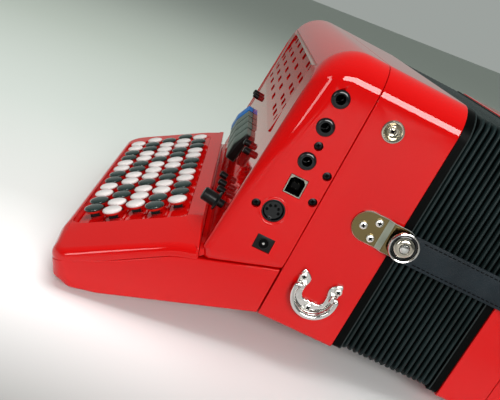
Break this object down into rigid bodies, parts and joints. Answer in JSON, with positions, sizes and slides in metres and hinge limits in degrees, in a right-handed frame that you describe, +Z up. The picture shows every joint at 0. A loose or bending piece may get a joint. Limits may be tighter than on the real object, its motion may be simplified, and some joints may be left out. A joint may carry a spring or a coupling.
{
  "type": "button accordion",
  "caption": "Compact digital button accordion with free bellows: button board on a shelf, grille cover, plug sockets, stitched bellows strap and a bass side with hand strap.",
  "frame": {"origin": "middle of the bounding box on the table that the instrument lies on, back down", "axes": "+X from the treble side to the bass side, +Y from the end with the sockets to the far end of the keyboard, +Z up from the table"},
  "size_m": [0.4248, 0.3254, 0.2105],
  "materials": {
    "red_lacquer": "high-gloss red lacquer",
    "rubber_pad": "matte rubber",
    "black_frame": "black covered wood",
    "black_cap": "glossy dark green-black caps on red skirts",
    "white_cap": "glossy white caps on red skirts",
    "register_grey": "satin grey-green",
    "register_blue": "satin blue",
    "black_plastic": "satin black",
    "black_gloss": "glossy black",
    "nickel": "nickel plated shell",
    "black_steel": "blackened steel",
    "chrome": "polished chrome",
    "bellows_cloth": "black bellows cloth with satin ribs",
    "leather": "blue-black leather, stitched",
    "leather_strap": "black leather, padded",
    "circuit_green": "solder mask green",
    "silicone": "translucent silicone",
    "speaker_grey": "dark paper cone in a steel basket",
    "battery_grey": "battery holder with cells"
  },
  "bodies": {
    "bass_side": {"bass_casing": "red_lacquer", "bass_cover": "red_lacquer", "bass_frame": "black_frame", "bellows_folds": "bellows_cloth", "strap_anchors": "chrome", "hand_strap": "leather_strap", "bass_feet": "rubber_pad", "battery_pack": "battery_grey"},
    "treble_side": {"treble_casing": "red_lacquer", "treble_cover": "red_lacquer", "treble_grille": "red_lacquer", "keyboard_shell": "red_lacquer", "keyboard_pan": "red_lacquer", "button_bed": "red_lacquer", "shelf_pads": "rubber_pad", "treble_frame": "black_frame", "jack_collars": "black_gloss", "usb_socket": "nickel", "midi_socket": "black_gloss", "dc_inlet": "black_gloss", "case_screws": "black_steel", "screw_cups": "chrome", "strap_plates": "chrome", "clasp_plates": "chrome", "plate_screws": "chrome", "circuit_boards": "circuit_green", "spring_mat": "silicone", "speakers": "speaker_grey"},
    "row1_black": {"row1_black": "black_cap"},
    "row1_white": {"row1_white": "white_cap"},
    "row2_black": {"row2_black": "black_cap"},
    "row2_white": {"row2_white": "white_cap"},
    "row3_black": {"row3_black": "black_cap"},
    "row3_white": {"row3_white": "white_cap"},
    "row4_black": {"row4_black": "black_cap"},
    "row4_white": {"row4_white": "white_cap"},
    "row5_black": {"row5_black": "black_cap"},
    "row5_white": {"row5_white": "white_cap"},
    "register_1": {"register_1": "register_grey"},
    "register_2": {"register_2": "register_grey"},
    "register_3": {"register_3": "register_grey"},
    "register_4": {"register_4": "register_grey"},
    "register_5": {"register_5": "register_blue"},
    "low_presets": {"low_presets": "black_plastic"},
    "high_presets": {"high_presets": "black_plastic"},
    "volume_knob": {"volume_knob": "black_plastic"},
    "strap_loop_near": {"strap_loop_near": "chrome"},
    "strap_loop_far": {"strap_loop_far": "chrome"},
    "bellows_strap_near": {"bellows_strap_near": "leather", "snap_cap_near": "chrome"},
    "bellows_strap_far": {"bellows_strap_far": "leather", "snap_cap_far": "chrome"},
    "bass_row_1": {"bass_row_1": "black_plastic"},
    "bass_row_2": {"bass_row_2": "black_plastic"},
    "bass_row_3": {"bass_row_3": "black_plastic"},
    "bass_row_4": {"bass_row_4": "black_plastic"},
    "bass_row_5": {"bass_row_5": "black_plastic"},
    "bass_row_6": {"bass_row_6": "black_plastic"},
    "air_button": {"air_button": "black_plastic"},
    "strap_wheel": {"strap_wheel": "black_plastic"}
  },
  "joints": [
    {"name": "bellows_slide", "type": "slide", "parent": "bass_side", "child": "treble_side", "axis": [-0.9939, 0, 0.1101], "range_m": [0, 0.25], "deforming": ["bellows_folds"]},
    {"name": "row1_black_press", "type": "slide", "parent": "treble_side", "child": "row1_black", "axis": [0.4574, 0, -0.8893], "range_m": [0, 0.003], "stiffness_N_per_m": 500, "springref_m": -0.002},
    {"name": "row1_white_press", "type": "slide", "parent": "treble_side", "child": "row1_white", "axis": [0.4574, 0, -0.8893], "range_m": [0, 0.003], "stiffness_N_per_m": 500, "springref_m": -0.002},
    {"name": "row2_black_press", "type": "slide", "parent": "treble_side", "child": "row2_black", "axis": [0.4574, 0, -0.8893], "range_m": [0, 0.003], "stiffness_N_per_m": 500, "springref_m": -0.002},
    {"name": "row2_white_press", "type": "slide", "parent": "treble_side", "child": "row2_white", "axis": [0.4574, 0, -0.8893], "range_m": [0, 0.003], "stiffness_N_per_m": 500, "springref_m": -0.002},
    {"name": "row3_black_press", "type": "slide", "parent": "treble_side", "child": "row3_black", "axis": [0.4574, 0, -0.8893], "range_m": [0, 0.003], "stiffness_N_per_m": 500, "springref_m": -0.002},
    {"name": "row3_white_press", "type": "slide", "parent": "treble_side", "child": "row3_white", "axis": [0.4574, 0, -0.8893], "range_m": [0, 0.003], "stiffness_N_per_m": 500, "springref_m": -0.002},
    {"name": "row4_black_press", "type": "slide", "parent": "treble_side", "child": "row4_black", "axis": [0.4574, 0, -0.8893], "range_m": [0, 0.003], "stiffness_N_per_m": 500, "springref_m": -0.002},
    {"name": "row4_white_press", "type": "slide", "parent": "treble_side", "child": "row4_white", "axis": [0.4574, 0, -0.8893], "range_m": [0, 0.003], "stiffness_N_per_m": 500, "springref_m": -0.002},
    {"name": "row5_black_press", "type": "slide", "parent": "treble_side", "child": "row5_black", "axis": [0.4574, 0, -0.8893], "range_m": [0, 0.003], "stiffness_N_per_m": 500, "springref_m": -0.002},
    {"name": "row5_white_press", "type": "slide", "parent": "treble_side", "child": "row5_white", "axis": [0.4574, 0, -0.8893], "range_m": [0, 0.003], "stiffness_N_per_m": 500, "springref_m": -0.002},
    {"name": "register_1_press", "type": "slide", "parent": "treble_side", "child": "register_1", "axis": [0.9719, 0, -0.2355], "range_m": [0, 0.002], "stiffness_N_per_m": 400, "springref_m": -0.002},
    {"name": "register_2_press", "type": "slide", "parent": "treble_side", "child": "register_2", "axis": [0.9719, 0, -0.2355], "range_m": [0, 0.002], "stiffness_N_per_m": 400, "springref_m": -0.002},
    {"name": "register_3_press", "type": "slide", "parent": "treble_side", "child": "register_3", "axis": [0.9719, 0, -0.2355], "range_m": [0, 0.002], "stiffness_N_per_m": 400, "springref_m": -0.002},
    {"name": "register_4_press", "type": "slide", "parent": "treble_side", "child": "register_4", "axis": [0.9719, 0, -0.2355], "range_m": [0, 0.002], "stiffness_N_per_m": 400, "springref_m": -0.002},
    {"name": "register_5_press", "type": "slide", "parent": "treble_side", "child": "register_5", "axis": [0.9719, 0, -0.2355], "range_m": [0, 0.002], "stiffness_N_per_m": 400, "springref_m": -0.002},
    {"name": "low_presets_press", "type": "slide", "parent": "treble_side", "child": "low_presets", "axis": [0.9719, 0, -0.2355], "range_m": [0, 0.0015], "stiffness_N_per_m": 400, "springref_m": -0.002},
    {"name": "high_presets_press", "type": "slide", "parent": "treble_side", "child": "high_presets", "axis": [0.9719, 0, -0.2355], "range_m": [0, 0.0015], "stiffness_N_per_m": 400, "springref_m": -0.002},
    {"name": "volume_turn", "type": "hinge", "parent": "treble_side", "child": "volume_knob", "pos_m": [-0.11768, -0.118, 0.08449], "axis": [-0.9719, 0, 0.2355], "range_deg": [-140, 140]},
    {"name": "strap_loop_near_swing", "type": "hinge", "parent": "treble_side", "child": "strap_loop_near", "pos_m": [-0.03915, -0.155, 0.061], "axis": [-0.9939, 0, 0.1101], "range_deg": [0, 150]},
    {"name": "strap_loop_far_swing", "type": "hinge", "parent": "treble_side", "child": "strap_loop_far", "pos_m": [-0.03915, 0.155, 0.061], "axis": [0.9939, 0, -0.1101], "range_deg": [0, 150]},
    {"name": "bellows_strap_near_open", "type": "hinge", "parent": "bass_side", "child": "bellows_strap_near", "pos_m": [0.09243, -0.155, 0.09985], "axis": [0.1101, 0, 0.9939], "range_deg": [0, 150]},
    {"name": "bellows_strap_far_open", "type": "hinge", "parent": "bass_side", "child": "bellows_strap_far", "pos_m": [0.09243, 0.155, 0.09985], "axis": [-0.1101, 0, -0.9939], "range_deg": [0, 150]},
    {"name": "bass_row_1_press", "type": "slide", "parent": "bass_side", "child": "bass_row_1", "axis": [-0.8641, 0, -0.5034], "range_m": [0, 0.004], "stiffness_N_per_m": 600, "springref_m": -0.002},
    {"name": "bass_row_2_press", "type": "slide", "parent": "bass_side", "child": "bass_row_2", "axis": [-0.8641, 0, -0.5034], "range_m": [0, 0.004], "stiffness_N_per_m": 600, "springref_m": -0.002},
    {"name": "bass_row_3_press", "type": "slide", "parent": "bass_side", "child": "bass_row_3", "axis": [-0.8641, 0, -0.5034], "range_m": [0, 0.004], "stiffness_N_per_m": 600, "springref_m": -0.002},
    {"name": "bass_row_4_press", "type": "slide", "parent": "bass_side", "child": "bass_row_4", "axis": [-0.8641, 0, -0.5034], "range_m": [0, 0.004], "stiffness_N_per_m": 600, "springref_m": -0.002},
    {"name": "bass_row_5_press", "type": "slide", "parent": "bass_side", "child": "bass_row_5", "axis": [-0.8641, 0, -0.5034], "range_m": [0, 0.004], "stiffness_N_per_m": 600, "springref_m": -0.002},
    {"name": "bass_row_6_press", "type": "slide", "parent": "bass_side", "child": "bass_row_6", "axis": [-0.8641, 0, -0.5034], "range_m": [0, 0.004], "stiffness_N_per_m": 600, "springref_m": -0.002},
    {"name": "air_button_press", "type": "slide", "parent": "bass_side", "child": "air_button", "axis": [-0.9939, 0, 0.1101], "range_m": [0, 0.004], "stiffness_N_per_m": 400, "springref_m": -0.002},
    {"name": "strap_wheel_turn", "type": "hinge", "parent": "bass_side", "child": "strap_wheel", "pos_m": [0.15812, 0.153, 0.05706], "axis": [0, 1, 0], "continuous": true}
  ]
}
